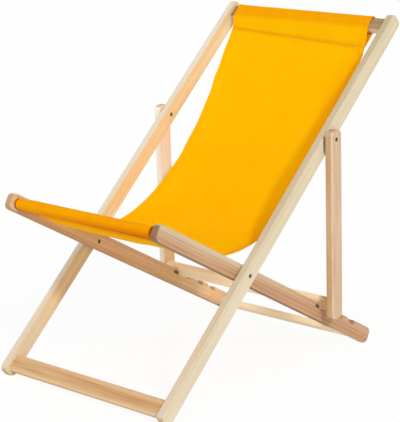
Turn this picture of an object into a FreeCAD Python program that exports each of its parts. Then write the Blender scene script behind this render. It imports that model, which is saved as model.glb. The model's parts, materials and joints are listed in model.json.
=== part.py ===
"""Folding deck chair: three hinged timber frames and a hung cloth sling.

X runs across the chair, Y from front to back and Z up from the floor. The
origin is on the floor, under the middle of the chair. Every rail is laid out
in the side view, along its own centre line and square to it, from the pivot
that it turns about. Lengths are in millimetres and angles in degrees.
"""
import FreeCAD
import Part
import math
import os

Vector = FreeCAD.Vector
ACROSS = Vector(1, 0, 0)

# How the three frames stand
LONG_SLOPE = 43.7  # long rails, rising to the back
SEAT_SLOPE = 28.2  # seat rails, falling to the back
STRUT_LEAN = 2.4  # prop struts, foot further back than the top
PROP_PIVOT = 412.0  # prop pivot from the seat pivot, up the long rail
FRAME_WIDTH = 540.0  # over the outer faces of the long rails
LAYER_GAP = 1.6  # between two rails that turn side by side
FOOT_CUT = 2.2  # depth of the flat under each long rail's foot
REAR_CUT = 1.25  # depth of the flat under each seat rail's rear end

# Rails, measured from the pivot that each turns about
BOARD = 21.0  # thickness of every rail
LONG_WIDTH = 40.0
LONG_FOOT = 408.0  # down from the seat pivot to the foot
LONG_HEAD = 800.0  # up from the seat pivot to the top end
SEAT_WIDTH = 42.0
SEAT_FRONT = 330.0  # forward from the seat pivot
STRUT_WIDTH = 40.0
STRUT_TOP = 23.0  # above the prop pivot
STRUT_TAIL = 37.0  # below the middle of the prop bar
END_ROUND = 14.0  # corners of the rail ends
EDGE_EASE = 2.0  # long edges of the rails

# Cross bars: width in the plane of the frame, and place on the rail
BAR_THICKNESS = 20.0
BAR_ROUND = 9.0  # long edges of the bars
HEAD_BAR_ROUND = 4.0  # the head bar is left squarer
FOOT_BAR_WIDTH = 46.0
FOOT_BAR_INSET = 31.0  # middle of the bar from the rail's foot
HEAD_BAR_WIDTH = 38.0
HEAD_BAR_INSET = 30.0  # middle of the bar from the rail's top end
FRONT_BAR_WIDTH = 38.0
FRONT_BAR_INSET = 31.0  # middle of the bar from the seat rail's front end
REAR_BAR_WIDTH = 40.0
REAR_BAR_INSET = 74.0  # middle of the bar from the seat rail's rear end
REAR_BAR_EDGE = 0.5  # bar's underside above the rail's lower edge
PROP_BAR_WIDTH = 34.0
PROP_BAR_EDGE = 1.5  # bar's front face behind the strut's front edge
PROP_BAR_LIFT = 24.5  # middle of the bar above the seat rail's centre line

# Tenons in blind mortises
TENON_LENGTH = 12.0
TENON_EDGE = 8.0  # shoulder at each narrow side
TENON_CHEEK = 5.0  # shoulder at each wide side
TENON_FIT = 0.1

# Notches in the seat rails' upper edge, for the prop bar
NOTCH_COUNT = 3
NOTCH_PITCH = 59.0
NOTCH_LEAD = 45.0  # first wall behind the middle of the resting bar
NOTCH_DEPTH = 10.5
NOTCH_RAMP = 22.0  # curved run from the edge down to the floor of a notch
NOTCH_FLOOR = 16.0
REST_FLOOR = 38.0  # the notch that the bar rests in is longer
HOUSING_LIFT = 0.9  # prop bar's housing over the seat rail's edge
HOUSING_SIDE = 1.0  # and beside the rail's faces

# Pivot hardware
BOLT = 6.0
BOLT_FIT = 0.05  # on the radius
HEAD = 10.0
HEAD_HEIGHT = 3.0
HEAD_SINK = 1.5  # head's top below the wood
HEAD_CLEAR = 0.4  # round the head, in its counterbore
HEAD_PLAY = 0.2  # under the head
SOCKET = 4.0  # hexagon across flats
SOCKET_DEPTH = 1.8
NUT_WALL = 1.2  # closed end of the nut
WASHER = 16.0
WASHER_CLEAR = 0.3  # round the bolt
WASHER_PLAY = 0.1  # of the gap that the washer fills

# Sling
CLOTH = 1.6
SLING_GAP = 10.4  # cloth's edge from the seat rail
HEM_WIDTH = 14.0
HEM_EXTRA = 0.5  # on each side of the cloth
SLEEVE_CLEAR = 0.6  # round the bars
SEAM_ROUND = 0.3  # inner end of a sleeve
HEAD_SEAM = 67.0  # seam from the middle of the head bar, down the rail
HEAD_SEAM_DROP = 8.0  # seam behind the long rail's centre line
FRONT_SEAM = 50.0  # seam from the middle of the front bar, back along the rail
FRONT_SEAM_DROP = 1.7  # seam below the seat rail's centre line
BACK_TURN = 11.8  # upper run of the cloth, steeper than the long rail
SEAT_TURN = 0.8  # front run of the cloth, steeper than the seat rail
SAG_RADIUS = 375.0  # round stretch between the two runs

# Places across the chair, on the right-hand side
LONG_OUT = FRAME_WIDTH / 2
LONG_IN = LONG_OUT - BOARD
SEAT_OUT = LONG_IN - LAYER_GAP
SEAT_IN = SEAT_OUT - BOARD
STRUT_IN = LONG_OUT + LAYER_GAP
STRUT_OUT = STRUT_IN + BOARD
SLING_EDGE = SEAT_IN - SLING_GAP


def slope(angle):
    """Unit vector in the side view, at an angle above the way to the back."""
    return Vector(0, math.cos(math.radians(angle)), math.sin(math.radians(angle)))


def reach_down(length, width, angle):
    """Height that a rail's rounded end goes down to, below its pivot."""
    bend = math.radians(angle)
    middle = (length - END_ROUND) * math.sin(bend)
    return middle + (width / 2 - END_ROUND) * math.cos(bend) + END_ROUND


class Rail:
    """Axes of one rail in the side view: along it, and square to it."""

    def __init__(self, start, angle, turned=False):
        self.start = start
        self.along = slope(angle)
        self.across = slope(angle - 90 if turned else angle + 90)

    def spot(self, along, across):
        """Point at a distance along the rail, and square to it."""
        return self.start + self.along * along + self.across * across

    def block(self, along, across, length, depth):
        """Four corners of a rectangle about a spot on the rail."""
        ends = [(-1, -1), (1, -1), (1, 1), (-1, 1)]
        return [self.spot(along + a * length / 2, across + b * depth / 2) for a, b in ends]


def prism(points, low, high):
    """Solid with the outline of the points, between two places across the chair."""
    flat = [Vector(low, p.y, p.z) for p in points]
    return Part.Face(Part.makePolygon(flat + flat[:1])).extrude(ACROSS * (high - low))


def rod(centre, radius, low, high):
    """Round bar across the chair."""
    return Part.makeCylinder(radius, high - low, Vector(low, centre.y, centre.z), ACROSS)


def runs_across(edge):
    """Whether an edge leads from one side of a solid to the other."""
    return abs(edge.Vertexes[0].X - edge.Vertexes[-1].X) > 0.001


def board(rail, start, end, width, low):
    """Rail with rounded corners at its ends and eased edges."""
    corners = rail.block((start + end) / 2, 0, end - start, width)
    blank = prism(corners, low, low + BOARD)
    blank = blank.makeFillet(END_ROUND, [e for e in blank.Edges if runs_across(e)])
    return blank.makeChamfer(EDGE_EASE, [e for e in blank.Edges if not runs_across(e)])


class Bar:
    """Cross bar between two rails, tenoned into both."""

    def __init__(self, rail, along, across, length, depth, reach, edge=BAR_ROUND):
        self.rail = rail
        self.along = along
        self.across = across
        self.length = length
        self.depth = depth
        self.reach = reach
        self.edge = edge

    def tenon(self, fit):
        """Solid of both tenons, grown by a clearance on every side."""
        length = self.length - 2 * (TENON_EDGE - fit)
        depth = self.depth - 2 * (TENON_CHEEK - fit)
        end = self.reach + TENON_LENGTH + fit
        return prism(self.rail.block(self.along, self.across, length, depth), -end, end)

    def solid(self):
        """Bar with rounded edges, and its tenons."""
        outline = self.rail.block(self.along, self.across, self.length, self.depth)
        body = prism(outline, -self.reach, self.reach)
        body = body.makeFillet(self.edge, [e for e in body.Edges if runs_across(e)])
        return body.fuse(self.tenon(0))

    def corners(self):
        """Middles of the four rounded edges, in the side view."""
        length = self.length - 2 * self.edge
        depth = self.depth - 2 * self.edge
        return self.rail.block(self.along, self.across, length, depth)


def notch(rail, wall, floor):
    """Cutter for one notch: a curved ramp, a floor and a wall that stands upright."""
    top = SEAT_WIDTH / 2
    low = top - NOTCH_DEPTH
    back = wall + NOTCH_DEPTH * math.tan(math.radians(SEAT_SLOPE))
    front = back - floor
    radius = (NOTCH_RAMP ** 2 + NOTCH_DEPTH ** 2) / (2 * NOTCH_DEPTH)
    half = math.asin(NOTCH_RAMP / radius) / 2
    lip = rail.spot(front - NOTCH_RAMP, top)
    bend = rail.spot(front - radius * math.sin(half), low + radius * (1 - math.cos(half)))
    corners = [rail.spot(front, low), rail.spot(back, low), rail.spot(wall, top)]
    corners += [rail.spot(wall, top + BOARD), rail.spot(front - NOTCH_RAMP, top + BOARD), lip]
    ramp = Part.Arc(lip, bend, corners[0]).toShape()
    wire = Part.Wire([ramp] + Part.makePolygon(corners).Edges)
    cutter = Part.Face(wire).extrude(ACROSS * (BOARD + 2))
    cutter.translate(ACROSS * (SEAT_IN - 1))
    return cutter


class Pivot:
    """Bolt, nut and washer through two rails, from the outer face to the inner one."""

    def __init__(self, centre, inner, outer):
        self.centre = centre
        self.inner = inner
        self.outer = outer
        self.head_seat = outer - HEAD_SINK - HEAD_HEIGHT
        self.nut_seat = inner + HEAD_SINK + HEAD_HEIGHT

    def cutter(self):
        """Bore through both rails, with a counterbore at each end."""
        bore = rod(self.centre, BOLT / 2 + BOLT_FIT, self.inner, self.outer)
        wide = HEAD / 2 + HEAD_CLEAR
        head = rod(self.centre, wide, self.head_seat - HEAD_PLAY, self.outer + 1)
        nut = rod(self.centre, wide, self.inner - 1, self.nut_seat + HEAD_PLAY)
        return bore.fuse([head, nut])

    def bolt(self):
        """Shank and head with a six-sided socket."""
        tip = self.inner + HEAD_SINK + NUT_WALL
        shank = rod(self.centre, BOLT / 2, tip, self.head_seat)
        head = rod(self.centre, HEAD / 2, self.head_seat, self.head_seat + HEAD_HEIGHT)
        size = SOCKET / math.sqrt(3)
        points = [self.centre + slope(60 * k) * size for k in range(6)]
        top = self.head_seat + HEAD_HEIGHT
        return shank.fuse(head).cut(prism(points, top - SOCKET_DEPTH, top + 1))

    def nut(self):
        """Round nut, closed on the side that shows."""
        start = self.inner + HEAD_SINK
        body = rod(self.centre, HEAD / 2, start, self.nut_seat)
        return body.cut(rod(self.centre, BOLT / 2 + BOLT_FIT, start + NUT_WALL, self.nut_seat + 1))

    def washer(self):
        """Ring that keeps the two rails apart."""
        low = self.inner + BOARD + WASHER_PLAY / 2
        high = self.outer - BOARD - WASHER_PLAY / 2
        ring = rod(self.centre, WASHER / 2, low, high)
        return ring.cut(rod(self.centre, BOLT / 2 + WASHER_CLEAR, low, high))


def belt(points, radii):
    """Face inside a belt round circles, which are given in turn, back to front under first."""
    count = len(points)
    sides = []
    for k in range(count):
        step = points[(k + 1) % count] - points[k]
        lean = math.asin((radii[k] - radii[(k + 1) % count]) / step.Length)
        step.normalize()
        sides.append(step.cross(ACROSS) * math.cos(lean) + step * math.sin(lean))
    edges = []
    for k in range(count):
        ahead = (k + 1) % count
        before = sides[k - 1]
        middle = (before + sides[k]).normalize()
        near = points[k] + sides[k] * radii[k]
        far = points[ahead] + sides[k] * radii[ahead]
        arc = [points[k] + before * radii[k], points[k] + middle * radii[k], near]
        edges.append(Part.Arc(*arc).toShape())
        edges.append(Part.makeLine(near, far))
    return Part.Face(Part.Wire(edges))


def spread(face, low, high):
    """Solid of a side-view face, between two places across the chair."""
    solid = face.extrude(ACROSS * (high - low))
    solid.translate(ACROSS * low)
    return solid


def sleeve(points, radii):
    """Loop of cloth round a bar, closed at its seam."""
    outer = spread(belt(points, [r + CLOTH for r in radii]), -SLING_EDGE, SLING_EDGE)
    return outer.cut(spread(belt(points, radii), -SLING_EDGE - 1, SLING_EDGE + 1))


def hung_face(head, front, thickness):
    """Side view of the cloth between its seams: two straight runs and a round sag."""
    down = slope(LONG_SLOPE + BACK_TURN) * -1
    back = slope(-SEAT_SLOPE - SEAT_TURN)
    span = front - head
    cross = down.y * back.z - down.z * back.y
    corner = head + down * ((span.y * back.z - span.z * back.y) / cross)
    half = math.radians(180 - math.degrees(down.getAngle(back * -1))) / 2
    room = min((corner - head).Length, (corner - front).Length)
    radius = min(SAG_RADIUS, 0.95 * room * math.tan(half))
    inward = (down * -1 + back * -1).normalize()
    middle = corner + inward * (radius / math.sin(half))
    leave = corner - down * (radius / math.tan(half))
    meet = corner - back * (radius / math.tan(half))
    sides = []
    for lift in (thickness / 2, -thickness / 2):
        one = (middle - leave).normalize() * lift
        two = (middle - meet).normalize() * lift
        low = middle - inward * (radius - lift)
        line = [Part.makeLine(head + one, leave + one)]
        line.append(Part.Arc(leave + one, low, meet + two).toShape())
        line.append(Part.makeLine(meet + two, front + two))
        sides.append((line, head + one, front + two))
    (top, top_head, top_front), (under, under_head, under_front) = sides
    ends = [Part.makeLine(top_front, under_front), Part.makeLine(under_head, top_head)]
    return Part.Face(Part.Wire(top + ends[:1] + under[::-1] + ends[1:]))


def sling(head_bar, front_bar, long_rail, seat_rail):
    """Cloth hung from the head bar to the front bar, with a sleeve on each."""
    head = long_rail.spot(head_bar.along - HEAD_SEAM, -HEAD_SEAM_DROP)
    front = seat_rail.spot(front_bar.along + FRONT_SEAM, -FRONT_SEAM_DROP)
    round_head = [head_bar.edge + SLEEVE_CLEAR] * 4
    round_front = [front_bar.edge + SLEEVE_CLEAR] * 4
    high = head_bar.corners()
    low = front_bar.corners()
    cloth = sleeve([head] + high, [SEAM_ROUND] + round_head)
    other = sleeve(low[:2] + [front] + low[2:], round_front[:2] + [SEAM_ROUND] + round_front[2:])
    sheet = spread(hung_face(head, front, CLOTH), -SLING_EDGE, SLING_EDGE)
    hem = hung_face(head, front, CLOTH + 2 * HEM_EXTRA)
    hem_in = SLING_EDGE - HEM_WIDTH
    hems = [spread(hem, -SLING_EDGE, -hem_in), spread(hem, hem_in, SLING_EDGE)]
    return cloth.fuse([other, sheet] + hems)


def both(name, solid):
    """Right-hand piece and its mirror image, under their names."""
    return {name + "_right": solid, name + "_left": solid.mirror(Vector(0, 0, 0), ACROSS)}


def main():
    """Build every piece, centre the chair over its origin and write the pieces."""
    height = reach_down(LONG_FOOT, LONG_WIDTH, LONG_SLOPE) - FOOT_CUT
    seat_pivot = Vector(0, 0, height)
    long_rail = Rail(seat_pivot, LONG_SLOPE)
    seat_rail = Rail(seat_pivot, -SEAT_SLOPE)
    prop_pivot = long_rail.spot(PROP_PIVOT, 0)
    strut = Rail(prop_pivot, STRUT_LEAN - 90, turned=True)

    # The seat rails reach back to the floor, and the struts down to the seat rails.
    short = reach_down(END_ROUND, SEAT_WIDTH, SEAT_SLOPE)
    seat_rear = END_ROUND + (height + REAR_CUT - short) / math.sin(math.radians(SEAT_SLOPE))
    bar_across = STRUT_WIDTH / 2 - PROP_BAR_EDGE - BAR_THICKNESS / 2
    above = (strut.spot(0, bar_across) - seat_pivot).dot(seat_rail.across) - PROP_BAR_LIFT
    bar_along = -above / strut.along.dot(seat_rail.across)
    bar_place = (strut.spot(bar_along, bar_across) - seat_pivot).dot(seat_rail.along)

    head_bar = Bar(long_rail, LONG_HEAD - HEAD_BAR_INSET, 0, HEAD_BAR_WIDTH, BAR_THICKNESS, LONG_IN, HEAD_BAR_ROUND)
    foot_bar = Bar(long_rail, FOOT_BAR_INSET - LONG_FOOT, 0, FOOT_BAR_WIDTH, BAR_THICKNESS, LONG_IN)
    front_bar = Bar(seat_rail, FRONT_BAR_INSET - SEAT_FRONT, 0, FRONT_BAR_WIDTH, BAR_THICKNESS, SEAT_IN)
    rear_across = REAR_BAR_EDGE + (BAR_THICKNESS - SEAT_WIDTH) / 2
    rear_along = seat_rear - REAR_BAR_INSET
    rear_bar = Bar(seat_rail, rear_along, rear_across, REAR_BAR_WIDTH, BAR_THICKNESS, SEAT_IN)
    prop_bar = Bar(strut, bar_along, bar_across, PROP_BAR_WIDTH, BAR_THICKNESS, STRUT_IN)
    fold = Pivot(seat_pivot, SEAT_IN, LONG_OUT)
    prop = Pivot(prop_pivot, LONG_IN, STRUT_OUT)
    floor = Part.makeBox(4 * FRAME_WIDTH, 4 * LONG_HEAD, height)
    floor.translate(Vector(-2 * FRAME_WIDTH, -2 * LONG_HEAD, -height))

    long_piece = board(long_rail, -LONG_FOOT, LONG_HEAD, LONG_WIDTH, LONG_IN)
    long_cuts = [fold.cutter(), prop.cutter(), head_bar.tenon(TENON_FIT), foot_bar.tenon(TENON_FIT), floor]
    seat_piece = board(seat_rail, -SEAT_FRONT, seat_rear, SEAT_WIDTH, SEAT_IN)
    seat_cuts = [fold.cutter(), front_bar.tenon(TENON_FIT), rear_bar.tenon(TENON_FIT), floor]
    for k in range(NOTCH_COUNT):
        wall = bar_place + NOTCH_LEAD + k * NOTCH_PITCH
        seat_cuts.append(notch(seat_rail, wall, NOTCH_FLOOR if k else REST_FLOOR))
    strut_piece = board(strut, -STRUT_TOP, bar_along + STRUT_TAIL, STRUT_WIDTH, STRUT_IN)
    strut_cuts = [prop.cutter(), prop_bar.tenon(TENON_FIT)]
    housing_high = SEAT_WIDTH / 2 + HOUSING_LIFT
    housing = seat_rail.block(bar_place, 0, 4 * PROP_BAR_WIDTH, 2 * housing_high)
    housing = prism(housing, SEAT_IN - HOUSING_SIDE, SEAT_OUT + HOUSING_SIDE)

    pieces = {
        "head_bar": head_bar.solid(),
        "foot_stretcher": foot_bar.solid(),
        "seat_front_bar": front_bar.solid(),
        "rear_stretcher": rear_bar.solid(),
        "prop_bar": prop_bar.solid().cut(list(both("housing", housing).values())),
        "sling": sling(head_bar, front_bar, long_rail, seat_rail),
    }
    pieces.update(both("long_rail", long_piece.cut(long_cuts)))
    pieces.update(both("seat_rail", seat_piece.cut(seat_cuts)))
    pieces.update(both("prop_strut", strut_piece.cut(strut_cuts)))
    for name, pivot in (("seat_pivot", fold), ("prop_pivot", prop)):
        pieces.update(both(name + "_bolt", pivot.bolt()))
        pieces.update(both(name + "_nut", pivot.nut()))
        pieces.update(both(name + "_washer", pivot.washer()))

    box = Part.makeCompound(list(pieces.values())).optimalBoundingBox()
    middle = Vector(0, -(box.YMin + box.YMax) / 2, 0)
    os.makedirs("parts", exist_ok=True)
    for name, solid in pieces.items():
        solid = solid.removeSplitter()
        solid.translate(middle)
        print(name, len(solid.Solids), solid.isValid(), round(solid.Volume))
        solid.exportStep("parts/" + name + ".step")
    print("seat pivot", seat_pivot + middle, "prop pivot", prop_pivot + middle)
    print("size", box.XLength, box.YLength, box.ZLength, "lowest", box.ZMin)


main()
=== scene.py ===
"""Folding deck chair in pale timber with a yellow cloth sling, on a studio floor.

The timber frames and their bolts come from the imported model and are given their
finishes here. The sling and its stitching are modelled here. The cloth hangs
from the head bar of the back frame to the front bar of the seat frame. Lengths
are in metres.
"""
import json
import logging
import math
from dataclasses import dataclass, field
from enum import Enum, IntEnum
from typing import Any

import bpy
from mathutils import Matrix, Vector, noise

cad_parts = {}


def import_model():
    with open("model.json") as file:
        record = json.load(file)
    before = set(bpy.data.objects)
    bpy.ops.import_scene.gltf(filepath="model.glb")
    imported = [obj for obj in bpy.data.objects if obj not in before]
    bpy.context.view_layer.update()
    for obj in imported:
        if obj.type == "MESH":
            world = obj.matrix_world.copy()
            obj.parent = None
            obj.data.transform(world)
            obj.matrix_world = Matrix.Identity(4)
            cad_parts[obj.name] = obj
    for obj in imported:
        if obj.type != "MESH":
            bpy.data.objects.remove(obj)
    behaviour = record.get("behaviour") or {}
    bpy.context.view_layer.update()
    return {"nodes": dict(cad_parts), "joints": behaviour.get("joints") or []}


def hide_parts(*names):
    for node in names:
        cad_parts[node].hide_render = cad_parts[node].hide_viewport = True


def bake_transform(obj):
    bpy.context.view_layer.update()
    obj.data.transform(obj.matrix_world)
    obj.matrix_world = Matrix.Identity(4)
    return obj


LOG = logging.getLogger("deck_chair")

Piece = bpy.types.Object
Material = bpy.types.Material
Socket = bpy.types.NodeSocket
Colour = tuple[float, float, float]
Pair = tuple[float, float]
Places = tuple[Socket, Socket, Socket]

# How a screen's levels are bent: their top, the straight part and the curve.
SCREEN_TOP = 255
SCREEN_KNEE, SCREEN_SLOPE = 0.04045, 12.92
SCREEN_LIFT, SCREEN_POWER = 0.055, 2.4
# Range that most values of a noise lie in, and the whole range of a share.
MIDDLE: Pair = (0.3, 0.7)
WHOLE: Pair = (0.0, 1.0)
NOISE_ROUGHNESS = 0.55
# Distance between two rings of the wave texture at scale 1.
WAVE_PERIOD = 0.314
# Length that makes no difference.
TINY = 1e-9


def linear(red: int, green: int, blue: int) -> Colour:
    """Colour as the renderer counts it, from the three levels of a screen colour.

    Args:
        red: Red level, from 0 to 255.
        green: Green level, from 0 to 255.
        blue: Blue level, from 0 to 255.

    Returns:
        The three linear levels, from 0 to 1.
    """
    done = []
    for level in (red, green, blue):
        value = level / SCREEN_TOP
        bent = ((value + SCREEN_LIFT) / (1 + SCREEN_LIFT)) ** SCREEN_POWER
        done.append(value / SCREEN_SLOPE if value <= SCREEN_KNEE else bent)
    return tuple(done)


def ramp(value: float, start: float, end: float) -> float:
    """Smooth step from 0 at the start to 1 at the end, held at both."""
    share = min(max((value - start) / (end - start), 0.0), 1.0)
    return share * share * (3 - 2 * share)


def heading(bend: float) -> Vector:
    """Unit vector of the side view at an angle in radians from its level axis."""
    return Vector((0, math.cos(bend), math.sin(bend)))


def bearing(way: Vector) -> float:
    """Angle in radians of a vector of the side view."""
    return math.atan2(way.z, way.y)


def right_of(way: Vector) -> Vector:
    """Vector of the side view, turned a quarter to the right."""
    return Vector((0, way.z, -way.y))


@dataclass(frozen=True)
class SideLine:
    """Centre line of a rail in the side view, at an angle in degrees.

    It has an axis along the rail and one square to it, which points to the other
    side where the line is turned.
    """

    start: Vector
    angle: float
    turned: bool = False

    def along(self) -> Vector:
        """Unit vector along the rail."""
        return heading(math.radians(self.angle))

    def across(self) -> Vector:
        """Unit vector square to the rail, in the side view."""
        return heading(math.radians(self.angle + (-90 if self.turned else 90)))

    def spot(self, along: float, across: float) -> Vector:
        """Point at a distance along the rail, and square to it."""
        return self.start + self.along() * along + self.across() * across


class Shader:
    """Node tree of a material or of the surround, built up node by node."""

    def __init__(self, owner: Material | bpy.types.World) -> None:
        """Start with an empty node tree.

        Args:
            owner: Material or surround that the tree belongs to.
        """
        owner.use_nodes = True
        self.owner = owner
        self.tree = owner.node_tree
        self.tree.nodes.clear()

    def add(self, kind: str, inputs: dict[Any, Any], **settings: Any) -> bpy.types.Node:
        """Add a node and fill its sockets.

        Args:
            kind: Node type, without its common first word.
            inputs: Socket name or place, with a value or the socket that feeds it.
            settings: Properties of the node.

        Returns:
            The new node.
        """
        node = self.tree.nodes.new("ShaderNode" + kind)
        for key, value in settings.items():
            setattr(node, key, value)
        for key, value in inputs.items():
            if isinstance(value, Socket):
                self.tree.links.new(value, node.inputs[key])
            elif isinstance(value, tuple) and node.inputs[key].type == "RGBA":
                node.inputs[key].default_value = (*value, 1.0)
            else:
                node.inputs[key].default_value = value
        return node

    def math(self, operation: str, first: Any, *rest: Any) -> Socket:
        """Result of an arithmetic step, repeated with each further value or socket.

        Args:
            operation: Name of the step.
            first: First value or socket.
            rest: The further ones, none for a step that takes only one.

        Returns:
            The result.
        """
        for value in rest or (0.0,):
            first = self.add("Math", {0: first, 1: value}, operation=operation).outputs[0]
        return first

    def dot(self, vector: Socket, axis: Vector) -> Socket:
        """Length of a vector along an axis."""
        node = self.add("VectorMath", {0: vector, 1: tuple(axis)}, operation="DOT_PRODUCT")
        return node.outputs["Value"]

    def offset(self, vector: Socket, point: Vector) -> Socket:
        """Vector as it is counted from a point."""
        node = self.add("VectorMath", {0: vector, 1: tuple(point)}, operation="SUBTRACT")
        return node.outputs[0]

    def join(self, x: Any, y: Any, z: Any) -> Socket:
        """Vector of three values or sockets."""
        return self.add("CombineXYZ", {0: x, 1: y, 2: z}).outputs[0]

    def level(self, value: Socket, span: Pair, result: Pair = WHOLE) -> Socket:
        """Value moved from one range to another and held inside it.

        Args:
            value: Value to move.
            span: Start and end of the range that it comes from.
            result: Results at that start and that end.

        Returns:
            The moved value.
        """
        limits = dict(enumerate((value, *span, *result)))
        return self.add("MapRange", limits, clamp=True).outputs[0]

    def noise(self, vector: Socket, scale: float = 1.0, detail: float = 3.0) -> Socket:
        """Cloudy value from 0 to 1."""
        inputs = {"Vector": vector, "Scale": scale, "Detail": detail, "Roughness": NOISE_ROUGHNESS}
        return self.add("TexNoise", inputs).outputs[0]

    def mix(self, share: Any, one: Any, two: Any, blend: str = "MIX") -> Socket:
        """Colour between two colours or sockets.

        Args:
            share: Part of the second colour, from 0 to 1.
            one: First colour.
            two: Second colour.
            blend: How the second is laid over the first.

        Returns:
            The mixed colour.
        """
        node = self.add("Mix", {0: share, 6: one, 7: two}, data_type="RGBA", blend_type=blend)
        return node.outputs[2]

    def seen(self) -> Socket:
        """Whether a ray shows the surface to the camera, straight or by way of gloss or glass.

        Returns:
            1 for such a ray, and 0 for the others.
        """
        ray = self.add("LightPath", {})
        kinds = ("Is Camera Ray", "Is Glossy Ray", "Is Transmission Ray")
        return self.math("MAXIMUM", *(ray.outputs[kind] for kind in kinds))

    def finish(self, surface: dict[str, Any], height: Socket, depth: float) -> Material:
        """Close the tree with a surface and a bump.

        Args:
            surface: Sockets of the surface shader, with their values.
            height: Height of the bump, from 0 to 1.
            depth: Depth of the bump.

        Returns:
            The finished material.
        """
        bump = self.add("Bump", {"Height": height, "Distance": depth, "Strength": 1.0})
        face = self.add("BsdfPrincipled", {**surface, "Normal": bump.outputs[0]})
        self.add("OutputMaterial", {"Surface": face.outputs[0]})
        return self.owner


class Tone(Enum):
    """Colours of a board: its pale wood and its grain."""

    CHALK = (linear(252, 246, 235), linear(243, 232, 214))
    IVORY = (linear(232, 225, 207), linear(217, 201, 174))
    CREAM = (linear(222, 210, 181), linear(203, 185, 151))
    FAWN = (linear(206, 190, 158), linear(182, 160, 122))
    STRAW = (linear(237, 216, 177), linear(218, 185, 134))
    LEMON = (linear(254, 243, 215), linear(247, 225, 184))
    BLUSH = (linear(244, 220, 190), linear(230, 196, 156))
    PEACH = (linear(218, 189, 160), linear(190, 152, 117))
    TAN = (linear(218, 186, 144), linear(190, 154, 112))
    HONEY = (linear(232, 198, 154), linear(206, 161, 113))
    SALMON = (linear(204, 163, 126), linear(170, 121, 84))
    AMBER = (linear(213, 181, 137), linear(184, 128, 74))
    BROWN = (linear(182, 151, 114), linear(142, 109, 76))


class Grain(Enum):
    """Streaks of a board: how many there are in a metre along it, and over it."""

    WIDE = (2.0, 60.0)
    THIN = (6.0, 260.0)
    FIBRES = (16.0, 950.0)
    FLECKS = (90.0, 1500.0)
    DRIFT = (2.6, 9.0)

    def streaks(self, shade: Shader, board: Places) -> Socket:
        """Long streaks that follow the fibres.

        Args:
            shade: Material that is being built.
            board: Places along, across and through the board.

        Returns:
            A value from 0 to 1.
        """
        along, over = self.value
        rates = (along, over, over)
        vector = shade.join(*(shade.math("MULTIPLY", *pair) for pair in zip(board, rates)))
        return shade.noise(vector, detail=2.0)


@dataclass(frozen=True)
class Board:
    """Where one board lies: its axes, its middle and half its length."""

    along: Vector
    across: Vector
    middle: Vector
    half: float

    @classmethod
    def measure(cls, piece: Piece, along: Vector, across: Vector) -> "Board":
        """Measure a board on its own axes.

        Args:
            piece: The board.
            along: Axis along its fibres.
            across: Axis over its wide face, square to the fibres.

        Returns:
            The board's place.
        """
        middle, ends = Vector((0, 0, 0)), []
        for axis in (along, across, along.cross(across)):
            reach = [vertex.co.dot(axis) for vertex in piece.data.vertices]
            ends.append((min(reach), max(reach)))
            middle += axis * sum(ends[-1]) / 2
        low, high = ends[0]
        return cls(along, across, middle, (high - low) / 2)

    def axes(self) -> tuple[Vector, Vector, Vector]:
        """Axes along, across and through the board."""
        return self.along, self.across, self.along.cross(self.across)


class BoardShader(Shader):
    """Material of one board, with each point's place, facing and grain.

    Attributes:
        spot: Place from the board's middle.
        run: Place along the board, from its middle.
        side: Place across the board, from its middle.
        normal: Parts of the surface's normal along, across and through the board.
        facing: The same without their signs.
        board: Places along, across and through the tree that the board was cut from.
        grain: Streaks of each kind.
    """

    SEED_STEP = 3.7

    def __init__(self, name: str, place: Board, seed: int) -> None:
        """Start the material and give the board its grain.

        Args:
            name: Name of the material.
            place: Where the board lies.
            seed: Number that makes this board's figure its own.
        """
        super().__init__(bpy.data.materials.new(name))
        coordinates = self.add("TexCoord", {})
        normal = coordinates.outputs["Normal"]
        self.spot = self.offset(coordinates.outputs["Object"], place.middle)
        self.run, self.side, deep = (self.dot(self.spot, axis) for axis in place.axes())
        self.normal = [self.dot(normal, axis) for axis in place.axes()]
        self.facing = [self.math("ABSOLUTE", part) for part in self.normal]
        self.board = (self.math("ADD", self.run, self.SEED_STEP * seed), self.side, deep)
        self.grain = {grain: grain.streaks(self, self.board) for grain in Grain}


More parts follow.
